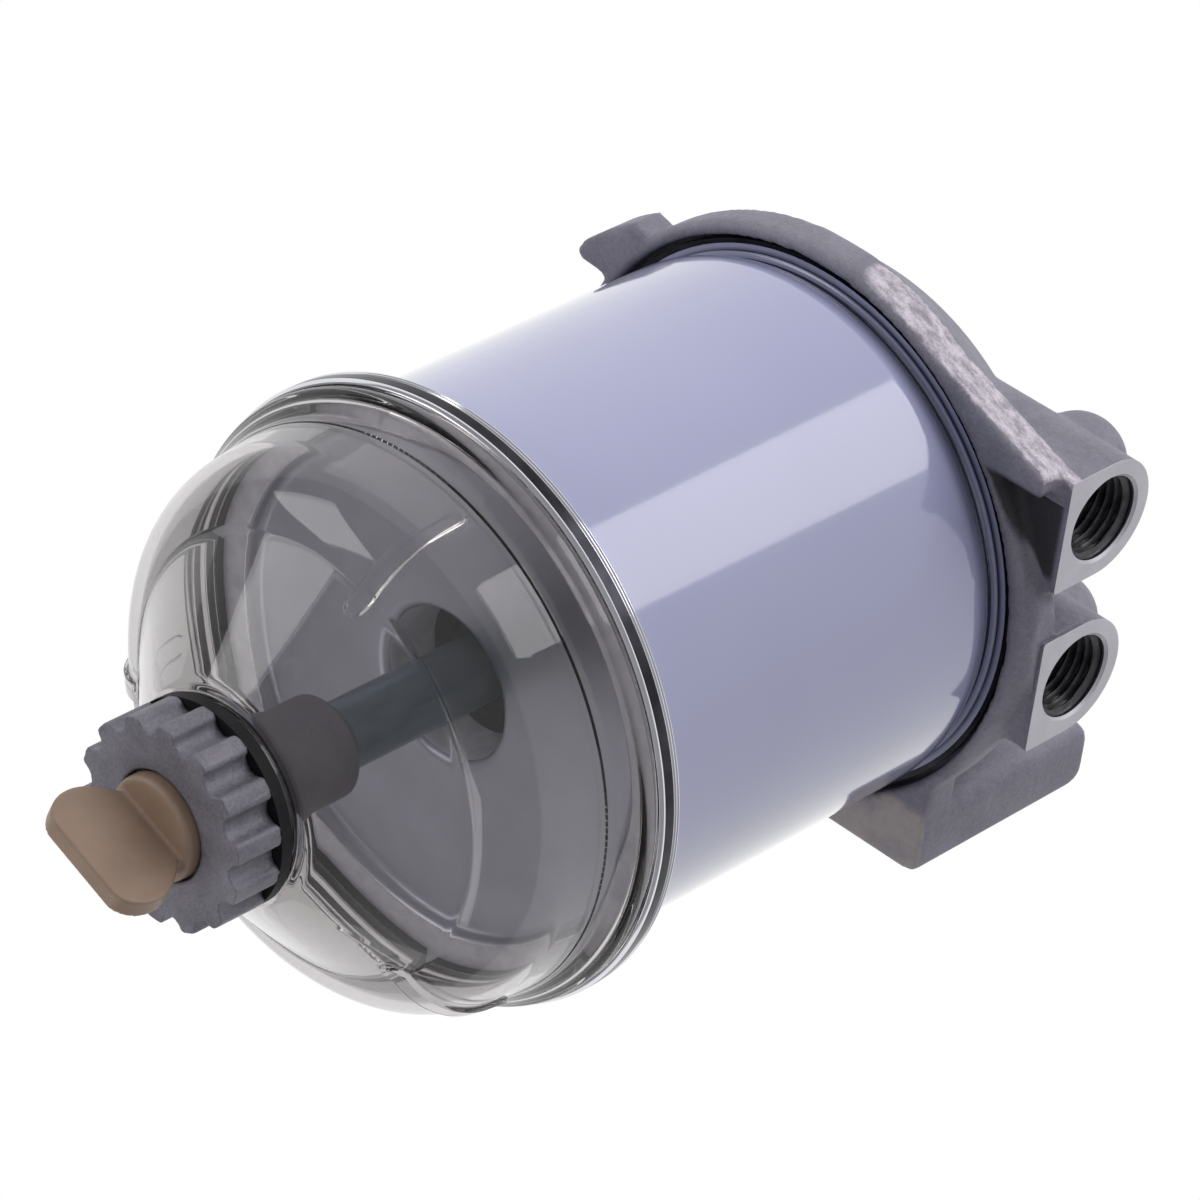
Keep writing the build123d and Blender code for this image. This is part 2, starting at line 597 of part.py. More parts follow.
# Hand nut: lobed wheel and neck in one casting, threaded on the centre tube
def hand_nut():
    wheel = rod(NUT_R, NUT_FACE_Z, NUT_TOP_Z)
    groove = Pos(NUT_GROOVE_AT, 0, (NUT_FACE_Z + NUT_TOP_Z) / 2) * Cylinder(NUT_GROOVE_R, NUT_H + 1)
    for lobe in range(NUT_LOBES):
        wheel -= Rot(0, 0, NUT_PHASE_DEG + 360 / NUT_LOBES * lobe) * groove
    upright = wheel.edges().filter_by(Axis.Z)
    tips = upright.filter_by(lambda e: math.hypot(e.center().X, e.center().Y) > NUT_R - NUT_EDGE_R)
    wheel = fillet(tips, NUT_EDGE_R)
    neck = rod(NECK_R, NUT_TOP_Z, NECK_TOP_Z)
    neck = chamfer(neck.edges().sort_by(Axis.Z)[-1], NECK_CHAMFER)
    nut = wheel + neck
    nut -= rod(TUBE_R + THREAD_CLEAR, NUT_SEAT_Z, NECK_TOP_Z + 1)
    groove_r = TUBE_R + NECK_SEAL_W + SEAM_GAP
    nut -= ring(groove_r, TUBE_R, NECK_SEAL_Z - NECK_SEAL_T / 2, NECK_SEAL_Z + NECK_SEAL_T / 2)
    nut -= rod(DRAIN_PASSAGE_R, SHANK_TOP_Z, NUT_SEAT_Z + 1)
    nut -= rod(SHANK_R + THREAD_CLEAR, NUT_FACE_Z - 1, SHANK_TOP_Z - DRAIN_CONE_H)
    nut -= turned([(0, SHANK_TOP_Z - DRAIN_CONE_H), (SHANK_R + THREAD_CLEAR, SHANK_TOP_Z - DRAIN_CONE_H),
                   (DRAIN_PASSAGE_R, SHANK_TOP_Z), (0, SHANK_TOP_Z)])
    nut -= rod(DISC_RECESS_R, NUT_FACE_Z - 1, DISC_TOP_Z + DRAIN_SEAL_T)
    nut -= drilling_x(WATER_HOLE_R, -NECK_R - 1, NECK_R + 1, 0, WATER_HOLE_Z)
    return nut


# Drain screw: plastic disc with a flat thumb paddle and a threaded shank with a sealing cone
def drain_screw():
    disc_bottom = DISC_TOP_Z - DISC_T
    disc = rod(DISC_R, disc_bottom, DISC_TOP_Z)
    disc = fillet(disc.edges().sort_by(Axis.Z)[0], DISC_EDGE_R)
    cone_top = SHANK_TOP_Z - DRAIN_CONE_GAP
    cone_base = cone_top - DRAIN_CONE_H
    shank = rod(SHANK_R, DISC_TOP_Z, cone_base)
    cone_tip_r = DRAIN_PASSAGE_R - RUBBER_GAP
    cone = turned([(0, cone_base), (SHANK_R, cone_base), (cone_tip_r, cone_top), (0, cone_top)])
    root_z = disc_bottom + PADDLE_SINK
    tip_in, tip_up = PADDLE_TIP_ROUND
    wide_z = NUT_FACE_Z - PADDLE_WIDE_Z
    tip_z = NUT_FACE_Z - PADDLE_TIP_Z
    outline = [Line((-PADDLE_ROOT_W, 0, root_z), (PADDLE_ROOT_W, 0, root_z)),
               Line((-PADDLE_TIP_W, 0, tip_z), (PADDLE_TIP_W, 0, tip_z))]
    for side in (-1, 1):
        outline.append(Spline((side * PADDLE_ROOT_W, 0, root_z),
                              (side * (PADDLE_W - PADDLE_WAIST), 0, (root_z + wide_z) / 2),
                              (side * PADDLE_W, 0, wide_z),
                              (side * (PADDLE_TIP_W + tip_in), 0, tip_z + tip_up),
                              (side * PADDLE_TIP_W, 0, tip_z)))
    paddle = extrude(make_face(Wire(outline)), PADDLE_T / 2, dir=(0, 1, 0), both=True)
    return disc + shank + cone + Rot(0, 0, PADDLE_DEG) * paddle


PIECES = {
    "filter_head": filter_head,
    "head_seal_ring": head_seal_ring,
    "top_centre_seal": top_centre_seal,
    "centre_tube": centre_tube,
    "canister_shell": canister_shell,
    "canister_top_plate": canister_top_plate,
    "canister_bottom_plate": canister_bottom_plate,
    "upper_end_cap": upper_end_cap,
    "lower_end_cap": lower_end_cap,
    "filter_paper": filter_paper,
    "perforated_core": perforated_core,
    "bottom_grommet": bottom_grommet,
    "bowl_seal_ring": bowl_seal_ring,
    "sediment_bowl": sediment_bowl,
    "nut_seal_washer": nut_seal_washer,
    "hand_nut": hand_nut,
    "neck_o_ring": neck_o_ring,
    "drain_o_ring": drain_o_ring,
    "drain_screw": drain_screw,
}

os.makedirs("parts", exist_ok=True)
for name, make in PIECES.items():
    solid = make()
    export_step(Pos(-MOUNT_CENTRE) * solid, "parts/" + name + ".step")
    print(name, round(solid.volume, 1))
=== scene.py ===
import math

import bmesh
import bpy
import numpy as np
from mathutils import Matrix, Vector


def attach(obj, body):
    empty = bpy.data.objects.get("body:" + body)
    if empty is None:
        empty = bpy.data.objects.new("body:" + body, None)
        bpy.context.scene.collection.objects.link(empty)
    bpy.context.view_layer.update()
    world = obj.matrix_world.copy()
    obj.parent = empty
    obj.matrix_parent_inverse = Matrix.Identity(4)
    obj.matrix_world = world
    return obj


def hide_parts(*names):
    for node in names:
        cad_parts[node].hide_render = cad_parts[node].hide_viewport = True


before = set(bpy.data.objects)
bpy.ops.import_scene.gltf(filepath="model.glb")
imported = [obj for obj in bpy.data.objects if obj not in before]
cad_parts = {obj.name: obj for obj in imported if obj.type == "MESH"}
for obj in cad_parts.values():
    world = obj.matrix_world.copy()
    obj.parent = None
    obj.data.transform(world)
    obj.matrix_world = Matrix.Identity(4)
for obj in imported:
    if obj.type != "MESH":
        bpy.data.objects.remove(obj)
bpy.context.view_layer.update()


# The room: a pale floor far below the filter, a white surround and four soft lamps.
# The filter itself hangs by its mounting pad, so nothing touches the floor.
# The room is measured in metres, and every piece of the filter in millimetres.
class Tone:
    """A shader socket that adds Math nodes when it is added, multiplied and so on."""

    def __init__(self, tree, socket):
        self.tree = tree
        self.socket = socket

    def node(self, kind, sockets=(), out=0, **settings):
        """Any node: its settings first, then the values or links of its sockets."""
        node = self.tree.nodes.new(kind)
        for name, value in settings.items():
            setattr(node, name, value)
        for key, value in dict(sockets).items():
            target = node.inputs[key]
            if isinstance(value, Tone):
                self.tree.links.new(value.socket, target)
            elif target.type == "RGBA":
                target.default_value = (*value, 1)
            else:
                target.default_value = value
        return Tone(self.tree, node.outputs[out])

    def math(self, operation, other):
        return self.node("ShaderNodeMath", {0: self, 1: other}, operation=operation)

    def __add__(self, other):
        return self.math("ADD", other)

    __radd__ = __add__

    def __mul__(self, other):
        return self.math("MULTIPLY", other)

    __rmul__ = __mul__

    def __neg__(self):
        return self * -1

    def __sub__(self, other):
        return self.math("SUBTRACT", other)

    def __rsub__(self, other):
        return self.node("ShaderNodeMath", {0: other, 1: self}, operation="SUBTRACT")

    def __pow__(self, other):
        return self.math("POWER", other)

    def between(self, low, high):
        """0 below low, 1 above high and a smooth rise from one to the other: 3t squared - 2t cubed."""
        return self.node("ShaderNodeMapRange", {"Value": self, "From Min": low, "From Max": high},
                         interpolation_type="SMOOTHSTEP")

    def blend(self, colour_a, colour_b):
        """The colour that lies this far from colour_a to colour_b."""
        return self.node("ShaderNodeMix", {0: self, 6: colour_a, 7: colour_b}, out=2, data_type="RGBA")


def material(name, **constants):
    """A new material, its Principled shader and the shader's output, with its unchanging values set."""
    made = bpy.data.materials.new(name)
    made.use_nodes = True
    shader = made.node_tree.nodes["Principled BSDF"]
    for key, value in constants.items():
        socket = shader.inputs[key.replace("_", " ").title().replace("Ior", "IOR")]
        socket.default_value = (*value, 1) if hasattr(value, "__len__") else value
    return made, shader, Tone(made.node_tree, shader.outputs[0])


def rays(start, *kinds):
    """1 for the kinds of light path that are named and 0 for the others."""
    found = [start.node("ShaderNodeLightPath", out=f"Is {kind} Ray") for kind in kinds]
    share = found[0]
    for other in found[1:]:
        share = share.math("MAXIMUM", other)
    return share


def swap_surface(start, share, other):
    """Gives way to another shader by a share, which is 1 where only the other is seen."""
    mixed = start.node("ShaderNodeMixShader", {0: share, 1: start, 2: other})
    start.tree.links.new(mixed.socket, start.tree.nodes["Material Output"].inputs["Surface"])


WHITE, FLOOR_GREY = (1.0, 1.0, 1.0), (0.82, 0.82, 0.83)
FLOOR_HALF, FLOOR_DROP = 6.0, 1.4
floor_paint, _, at_floor = material("floor_paint", base_color=FLOOR_GREY, roughness=0.9)
swap_surface(at_floor, rays(at_floor, "Camera", "Transmission"),
             at_floor.node("ShaderNodeEmission", {"Color": WHITE, "Strength": 1.0}))
floor_corners = np.array([(-1, -1), (1, -1), (1, 1), (-1, 1)]) * FLOOR_HALF
floor_mesh = bpy.data.meshes.new("floor")
floor_mesh.from_pydata([(*corner, -FLOOR_DROP) for corner in floor_corners.tolist()], [], [(0, 1, 2, 3)])
floor_mesh.materials.append(floor_paint)
floor = bpy.data.objects.new("floor", floor_mesh)
bpy.context.scene.collection.objects.link(floor)

AMBIENT = (0.35, 0.35, 0.365)
world = bpy.data.worlds.new("studio")
bpy.context.scene.world = world
world.use_nodes = True
background = world.node_tree.nodes["Background"]
at_world = Tone(world.node_tree, background.outputs[0])
surround = rays(at_world, "Camera", "Glossy", "Transmission").blend(AMBIENT, WHITE)
world.node_tree.links.new(surround.socket, background.inputs["Color"])
background.inputs["Strength"].default_value = 1.0

FILTER_MIDDLE, LAMP_DISTANCE = Vector((0.0, -0.0464, -0.055)), 1.0


def soft_panel(name, azimuth, elevation, size, brightness, colour=WHITE):
    """A square-cornered soft box that faces the filter's middle, at a compass angle measured from +X and a
    height angle. It looks about as bright as the white surround at a brightness of 0.67."""
    data = bpy.data.lights.new(name, "AREA")
    data.shape, data.size, data.size_y = "RECTANGLE", *size
    data.energy, data.color = brightness * math.pi * size[0] * size[1], colour
    lamp = bpy.data.objects.new(name, data)
    bpy.context.scene.collection.objects.link(lamp)
    turn, rise = math.radians(azimuth), math.radians(elevation)
    away = Vector((math.cos(rise) * math.cos(turn), math.cos(rise) * math.sin(turn), math.sin(rise)))
    lamp.location = FILTER_MIDDLE + away * LAMP_DISTANCE
    lamp.rotation_euler = away.to_track_quat("Z", "Y").to_euler()
    return lamp


soft_panel("front_panel", -57.4, 29, (0.505, 0.80), 2.8, (1.0, 0.98, 1.0))
soft_panel("left_panel", -119, 28, (0.95, 0.85), 1.5).visible_glossy = False
soft_panel("low_left_panel", -146, -43, (0.45, 0.55), 2.6)
soft_panel("low_panel", 110, -60, (0.5, 0.5), 1.8, (1.0, 0.98, 0.96))

# The camera stands low in front, on the ports' side, and has a long lens.
view = bpy.data.cameras.new("view")
view.lens, view.sensor_width, view.sensor_fit = 179.484, 36.0, "HORIZONTAL"
view.clip_start, view.clip_end = 0.05, 20
camera = bpy.data.objects.new("view", view)
camera.location = (0.46809, -0.54283, -0.61158)
camera.rotation_euler = [math.radians(angle) for angle in (151.3505, -44.1423, -8.4842)]
bpy.context.scene.collection.objects.link(camera)
bpy.context.scene.camera = camera
bpy.context.scene.view_settings.view_transform = "Standard"


# Filter head: one aluminium casting with its flange, ports' blocks, dome and mounting pad.
# Sand-cast, so its edges are soft and its skin is finely grained; the flange's edge has been ground.
AXIS_Y, CAN_FOOT_Z = -46.4, -92.5
MERGE_DISTANCE, CAST_VOXEL, CAST_ROUNDS = 0.002, 0.72, 3
PORT_FACE_X, PORT_PLATE_T = 49.0, 0.6


def noise_on(start, scale, detail=3.0, roughness=0.55, stretch=(1, 1, 1)):
    """Soft blotches on the piece's own coordinates, scale of them to a metre."""
    place = start.node("ShaderNodeTexCoord", out="Object")
    place = start.node("ShaderNodeMapping", {"Vector": place, "Scale": stretch})
    return start.node("ShaderNodeTexNoise",
                      {"Vector": place, "Scale": scale, "Detail": detail, "Roughness": roughness})


def place_in_mm(start):
    """The piece's own x, y and z in millimetres, measured from the filter's axis and the can's foot."""
    place = start.node("ShaderNodeTexCoord", out="Object")
    outputs = start.node("ShaderNodeSeparateXYZ", {"Vector": place}).socket.node.outputs
    zeros = zip("XYZ", (0, AXIS_Y, CAN_FOOT_Z))
    return [Tone(start.tree, outputs[axis]) * 1000 - zero for axis, zero in zeros]


def feed(shader, start, **tones):
    """Links tones to the shader's sockets; bump is a height in metres."""
    for key, tone in tones.items():
        if key == "bump":
            tone = start.node("ShaderNodeBump", {"Height": tone, "Distance": 1.0}, out="Normal")
            key = "normal"
        start.tree.links.new(tone.socket, shader.inputs[key.replace("_", " ").title()])


def soft_piece(name, node, made, body, voxel, rounds):
    """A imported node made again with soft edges: its doubles are merged, and it is remeshed and smoothed."""
    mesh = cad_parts[node].data.copy()
    merged = bmesh.new()
    merged.from_mesh(mesh)
    bmesh.ops.remove_doubles(merged, verts=merged.verts, dist=MERGE_DISTANCE / 1000)
    merged.to_mesh(mesh)
    merged.free()
    piece = bpy.data.objects.new(name, mesh)
    bpy.context.scene.collection.objects.link(piece)
    remesh = piece.modifiers.new("remesh", "REMESH")
    remesh.mode, remesh.voxel_size = "VOXEL", voxel / 1000
    smooth = piece.modifiers.new("smooth", "SMOOTH")
    smooth.factor, smooth.iterations = 0.5, rounds
    mesh = bpy.data.meshes.new_from_object(piece.evaluated_get(bpy.context.evaluated_depsgraph_get()))
    piece.modifiers.clear()
    piece.data = mesh
    mesh.polygons.foreach_set("use_smooth", np.ones(len(mesh.polygons), bool))
    mesh.materials.clear()
    mesh.materials.append(made)
    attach(piece, body)
    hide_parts(node)
    return piece


casting, casting_shader, at_casting = material("sand_casting", metallic=0.2, roughness=0.6,
                                               specular_ior_level=0.35)
x, y, z = place_in_mm(at_casting)
off_axis = (x * x + y * y) ** 0.5
grain = noise_on(at_casting, 2600, 4.0, 0.7)
pits = noise_on(at_casting, 900, 3.0, 0.6)
blotch = noise_on(at_casting, 55, 3.0, 0.6)
patchy = noise_on(at_casting, 420, 4.0)
streaks = noise_on(at_casting, 150, 4.0, 0.65)
skin_tone = (blotch * 1.2 - 0.1 + (grain - 0.5) * 0.9 + (pits - 0.5) * 0.5).between(0.0, 1.0)
skin = skin_tone.blend((0.165, 0.160, 0.200), (0.31, 0.30, 0.355))

# Old sealant stains the underside of the pad's shelf.
under_shelf = (1 - z.between(72.7, 74.5)) * y.between(33.0, 36.0)
stained = (streaks * under_shelf).between(0.15, 0.6).blend(skin, (0.40, 0.365, 0.35))

# The ground band is a flat across the flange's front, between its lower edge and its chamfer.
GROUND_SIDE = (0.366, -0.9306)
towards_front = x * GROUND_SIDE[0] + y * GROUND_SIDE[1] + (patchy - 0.5) * 0.9
wavy_z = z + (noise_on(at_casting, 500, 3.0) - 0.5) * 1.6
ragged_x = x + (streaks - 0.5) * 40
ground = (towards_front.between(45.4, 45.9) * ragged_x.between(-22.0, 4.0)
          * wavy_z.between(73.2, 73.8) * (1 - wavy_z.between(78.4, 79.1)))
scrape = noise_on(at_casting, 600, 3.0, 0.65, (0.6, 0.6, 1.4)) * 0.65 + grain * 0.35
bare = ((scrape - 0.5) * 3.2 + 0.5).between(0.0, 1.0).blend((0.33, 0.305, 0.36), (0.78, 0.73, 0.81))

# Painted shade: the pocket between the flange's ear and the front port's block is coloured near black, where
# its shadow falls.
behind_ear = (x - 36.2 - (y + 27.9) * 0.70 + (patchy - 0.5) * 0.6).between(0.0, 0.8)
beside_block = (-y).between(12.6, 14.5) * (y + 29.6).between(0.0, 1.6) * (1 - x.between(47.6, 48.6))
under_ear = z.between(70.0, 71.0) * (1 - z.between(80.5, 85.0))
past_corner = 1 - z.between(75.0, 76.0) * y.math("LESS_THAN", -26.5)
painted_pocket_shade = under_ear * behind_ear * (off_axis - 45.4).between(0.0, 0.5) * beside_block * past_corner
feed(casting_shader, at_casting,
     base_color=(painted_pocket_shade * 0.88).blend(ground.blend(stained, bare), (0.012, 0.011, 0.011)),
     roughness=0.56 + (grain - 0.5) * 0.25 - ground * 0.06,
     bump=grain * 0.00010 + pits * 0.00016 + ground * scrape * 0.0003)

head = soft_piece("head_casting", "filter_head", casting, "head_and_canister",
                  CAST_VOXEL, CAST_ROUNDS)
places = np.empty(len(head.data.vertices) * 3, np.float32)
head.data.vertices.foreach_get("co", places)
places[0::3] = np.minimum(places[0::3], (PORT_FACE_X - PORT_PLATE_T) / 1000)
places[1::3] = np.minimum(places[1::3], 0.0)
head.data.vertices.foreach_set("co", places)
head.data.update()


# Fuel ports: each block's face is milled flat and tapped for a pipe union.
# The milled faces are bright, with a small chamfer and a turned thread inside.
PORT_YS, PORT_Z, PORT_HALF, PORT_LOW, PORT_R, PORT_SEGMENTS = (-21.2, 7.2), 86.0, 9.8, 9.3, 7.0, 192
PORT_INSET, PORT_BEVEL, PORT_ROOT, PORT_CHAMFER, PORT_CORNER_CUT = 0.03, 0.04, 0.4, 0.4, 0.25
THREAD_PITCH, THREAD_DEPTH, THREAD_LENGTH, THREAD_RUN_IN, THREAD_STEPS = 1.5, 0.85, 13.0, 1.2, 8
CHAMFER_FOOT_R, THREAD_R = PORT_R + 0.02, PORT_R - 0.05

milled, milled_shader, at_milled = material("milled_aluminium", metallic=0.3, roughness=0.45)
lay = noise_on(at_milled, 900, 3.0, 0.6, (1, 6, 1))
wear = noise_on(at_milled, 160, 3.0)
feed(milled_shader, at_milled,
     base_color=(lay * 0.5 + wear * 0.5).between(0.2, 0.8).blend((0.50, 0.49, 0.535), (0.64, 0.63, 0.68)),
     roughness=0.4 + lay * 0.16, bump=lay * 0.000012)
# Painted shade: the thread inside each bore is coloured near-black metal.
tapped, tapped_shader, at_tapped = material("tapped_aluminium", metallic=0.6, roughness=0.4)
cut = noise_on(at_tapped, 700, 3.0)
feed(tapped_shader, at_tapped,
     base_color=cut.between(0.2, 0.8).blend((0.035, 0.034, 0.038), (0.075, 0.073, 0.08)),
     roughness=0.3 + cut * 0.2)


def grid_faces(rows, columns, close_rows=True):
    """The four-sided faces of a grid of points, whose columns, and rows if asked, are joined round."""
    i = np.arange(rows if close_rows else rows - 1)[:, None]
    j = np.arange(columns)[None, :]
    a, b = i * columns, (i + 1) % rows * columns
    return np.stack([a + j, a + (j + 1) % columns, b + (j + 1) % columns, b + j], axis=-1).reshape(-1, 4)


def mesh_piece(name, points, faces, made, body, slot, *replaced):
    """A finished piece from points in millimetres, riding on its body and standing for its node."""
    points = np.asarray(points, float) + (0, AXIS_Y, CAN_FOOT_Z)
    mesh = bpy.data.meshes.new(name)
    mesh.from_pydata((points / 1000).tolist(), [], faces.tolist())
    mesh.validate()
    mesh.polygons.foreach_set("use_smooth", np.ones(len(mesh.polygons), bool))
    mesh.materials.append(made)
    piece = bpy.data.objects.new(name, mesh)
    bpy.context.scene.collection.objects.link(piece)
    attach(piece, body)
    if replaced:
        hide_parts(*replaced)
    return piece


def port_face(name, y):
    """Rings of points round the bore: the plate's side, the face, the chamfer and the thread. The outline is
    a half circle over a square foot with its corners cut. The thread's radius is its outer radius less the
    depth times a triangle wave of (distance in / pitch - turn), which is cut flat at both ends and grows
    over the run-in."""
    t = np.linspace(0, 2 * np.pi, PORT_SEGMENTS, endpoint=False)
    side, down = (np.maximum(share, 1e-9) for share in (np.abs(np.cos(t)), -np.sin(t)))
    edge = np.where(np.sin(t) >= 0, PORT_HALF, np.minimum(PORT_HALF / side, PORT_LOW / down))
    edge = np.minimum(edge, np.hypot(PORT_HALF, PORT_LOW) - PORT_CORNER_CUT)
    rings = [(edge - PORT_INSET, PORT_PLATE_T + PORT_ROOT), (edge - PORT_INSET, PORT_BEVEL),
             (edge - PORT_INSET - PORT_BEVEL, 0.0), (PORT_R + PORT_CHAMFER, 0.0),
             (CHAMFER_FOOT_R, PORT_CHAMFER)]
    inside = np.arange(PORT_CHAMFER, THREAD_LENGTH, THREAD_PITCH / THREAD_STEPS)[:, None]
    wave = np.abs((inside / THREAD_PITCH - t / (2 * np.pi)) % 1 * 2 - 1)
    grown = np.clip((inside - PORT_CHAMFER) / THREAD_RUN_IN, 0, 1)
    thread = THREAD_R - THREAD_DEPTH * grown * np.clip(wave * 1.3 - 0.15, 0, 1)
    r = np.vstack([np.broadcast_to(radius, t.shape) for radius, depth in rings] + [thread])
    depth = np.concatenate([[depth for radius, depth in rings], inside[:, 0]])[:, None]
    points = np.stack([PORT_FACE_X - depth + 0 * t, y + r * np.cos(t), PORT_Z + r * np.sin(t)], -1)
    faces = grid_faces(*r.shape, close_rows=False)[:, ::-1]
    piece = mesh_piece(name, points.reshape(-1, 3), faces, milled, "head_and_canister", "cast_aluminium")
    piece.data.materials.append(tapped)
    piece.data.materials.append(casting)
    ring = np.arange(len(faces)) // PORT_SEGMENTS
    finish = np.select([ring >= len(rings), ring < 1], [1, 2], 0)
    piece.data.polygons.foreach_set("material_index", finish.astype(np.int32))
    piece.data.set_sharp_from_angle(angle=math.radians(30))


for name, y in zip(("front_port_face", "rear_port_face"), PORT_YS):
    port_face(name, y)


# Canister shell: a rolled steel can with a gloss baked enamel outside, seamed to both end plates.
# The enamel is a cool white with a faint lavender cast and a very slight waviness; near the head it carries
# painted shade.
CAN_R, CAN_WALL, CAN_TOP = 43.0, 0.8, 75.2
BEND_R, BEND_Z, BEND_DEG, BEND_STEPS = 10.24, 67.0, 34.5, 14
SEAM_LIP = ((41.05, 73.2), (41.2, 73.5), (41.75, 73.55), (41.95, 73.75), (41.95, 74.0), (41.75, 74.15),
            (41.75, 74.3))
RIM_FOOT_Z, RIM_INSIDE_Z = 74.5, 74.8
TURN_SEGMENTS = 320

enamel, enamel_shader, at_enamel = material("white_enamel", roughness=0.13, specular_ior_level=0.3,
                                            coat_weight=1.0, coat_roughness=0.07, coat_ior=1.47)
drift = noise_on(at_enamel, 18, 2.0)
peel = noise_on(at_enamel, 330, 2.0)
paint = drift.between(0.3, 0.7).blend((0.405, 0.415, 0.62), (0.435, 0.445, 0.655))
z = place_in_mm(at_enamel)[2]
# Painted shade: the enamel turns deep blue-grey over the shoulder under the head and on the ledge above the
# lip, where the flange shades the can.
painted_shade_below_lip = z.between(67.5, 73.2) * (1 - z.between(73.35, 73.5))
painted_shade_above_lip = z.between(73.95, 74.1) * (1 - z.between(74.3, 74.45))
feed(enamel_shader, at_enamel,
     base_color=(painted_shade_below_lip + painted_shade_above_lip).blend(paint, (0.055, 0.06, 0.11)),
     bump=peel * 0.000006 + drift * 0.00008)


def turned(r, z, t):
    """Points (r cos t, r sin t, z) for each (r, z) of a closed profile and each angle t round the axis.
    The faces look outwards whichever way round the profile runs, by the sign of the area inside it."""
    points = np.stack([r * np.cos(t), r * np.sin(t), z + 0 * t], axis=-1)
    faces = grid_faces(*points.shape[:2])
    area = np.sum(r[:, 0] * np.roll(z[:, 0], -1) - np.roll(r[:, 0], -1) * z[:, 0])
    return points.reshape(-1, 3), faces if area > 0 else faces[:, ::-1]


def turned_profile(profile):
    """The profile turned at even angles."""
    r, z = np.asarray(profile, float).T[:, :, None]
    return turned(r, z, np.linspace(0, 2 * np.pi, TURN_SEGMENTS, endpoint=False))


def can_bend(inset):
    """The rounded shoulder under the head: points (cos a, sin a) times the bend's radius less the inset, from
    its centre, for each angle a from 0, where the wall is upright, to the bend's."""
    a, r = np.radians(np.linspace(0, BEND_DEG, BEND_STEPS)), BEND_R - inset
    return np.stack([CAN_R - BEND_R + r * np.cos(a), BEND_Z + r * np.sin(a)], -1)


outer, inner = can_bend(0.0), can_bend(CAN_WALL)
can_profile = np.concatenate([
    [(CAN_R - CAN_WALL, 0.0), (CAN_R, 0.0)], outer, SEAM_LIP,
    [(CAN_R, RIM_FOOT_Z), (CAN_R, CAN_TOP), (CAN_R - CAN_WALL, CAN_TOP), (CAN_R - CAN_WALL, RIM_INSIDE_Z),
     (inner[-1, 0], inner[-1, 1] + CAN_WALL)], inner[::-1]])
shell = mesh_piece("can", *turned_profile(can_profile), enamel, "head_and_canister", "white_paint",
                   "canister_shell")
shell.data.set_sharp_from_angle(angle=math.radians(40))


# End plates: pressed from tinned sheet, the upper one hidden in the head. The lower one is a shallow pan
# with a neck round the centre tube and a wide rim, seamed to the can, whose skirt hangs round the bowl's
# lip. The pan is rough and its tin is painted darker than the rim's, as painted shade; the rim is bright,
# with two rolled lines round its skirt.
PAN_LOW, PAN_EDGE_R, NECK_R, NECK_TOP, SHEET_T = 1.2, 39.0, 11.9, 10.0, 1.0
FLAT_Z, FLAT_FROM_R, SKIRT_IN_R, SKIRT_R, SKIRT_FOOT_Z = -1.0, 40.2, 46.9, 47.9, -3.6
LINE_R, LINE_ZS = 47.65, (-0.95, -0.4)

tin, tin_shader, at_tin = material("bright_tin", metallic=1.0, roughness=0.12)
streak = noise_on(at_tin, 260, 3.0, 0.6, (1, 1, 9))
smudge = noise_on(at_tin, 60, 3.0)
x, y, z = place_in_mm(at_tin)
on_pan = 1 - ((x * x + y * y) ** 0.5).between(39.5, 41.0)
drawn = (streak * 0.3 + smudge * 0.7).between(0.25, 0.75)
rim_tin = drawn.blend((0.66, 0.665, 0.70), (0.76, 0.765, 0.80))
# Painted shade: the pan's tin is about half as bright as the rim's.
painted_shade_pan_tin = drawn.blend((0.31, 0.32, 0.38), (0.37, 0.38, 0.45))
feed(tin_shader, at_tin, base_color=on_pan.blend(rim_tin, painted_shade_pan_tin),
     roughness=0.07 + smudge * 0.08 + on_pan * 0.24)

# Near-black tin: painted shade on the upper plate and a painted dark reflection on the skirt's side.
painted_shade_tin, painted_shade_shader, at_painted_shade = material("painted_shade_tin", metallic=1.0, roughness=0.25)
smudge = noise_on(at_painted_shade, 160, 3.0)
feed(painted_shade_shader, at_painted_shade,
     base_color=smudge.between(0.3, 0.7).blend((0.022, 0.022, 0.027), (0.042, 0.042, 0.05)),
     roughness=0.2 + smudge * 0.12)

# Rough light grey tin, painted light standing in for the reflection on the neck's inside and the highlight on
# the flat ring.
painted_light_tin, painted_light_shader, at_painted_light = material("painted_light_grey_tin", metallic=0.3, roughness=0.6)
light_mottle = noise_on(at_painted_light, 400, 3.0)
feed(painted_light_shader, at_painted_light,
     base_color=light_mottle.between(0.3, 0.7).blend((0.62, 0.63, 0.70), (0.74, 0.75, 0.82)))


def dress(made, *nodes):
    """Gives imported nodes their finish."""
    for node in nodes:
        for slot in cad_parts[node].material_slots:
            slot.material = made


def rounded(corners, steps):
    """A closed profile from rows of r, z and a radius. Each corner becomes a quadratic curve that starts
    and ends its radius away along both sides, or just short of their middles."""
    radii, corners = np.array(corners)[:, 2], np.array(corners)[:, :2]
    s = np.linspace(0, 1, steps)[:, None]
    curves = []
    for k, (corner, radius) in enumerate(zip(corners, radii)):
        if radius == 0:
            curves.append(corner[None])
            continue
        sides = (other - corner for other in (corners[k - 1], corners[(k + 1) % len(corners)]))
        start, end = (corner + side * min(radius / np.linalg.norm(side), 0.48) for side in sides)
        curves.append((1 - s) ** 2 * start + 2 * s * (1 - s) * corner + s ** 2 * end)
    return np.concatenate(curves)
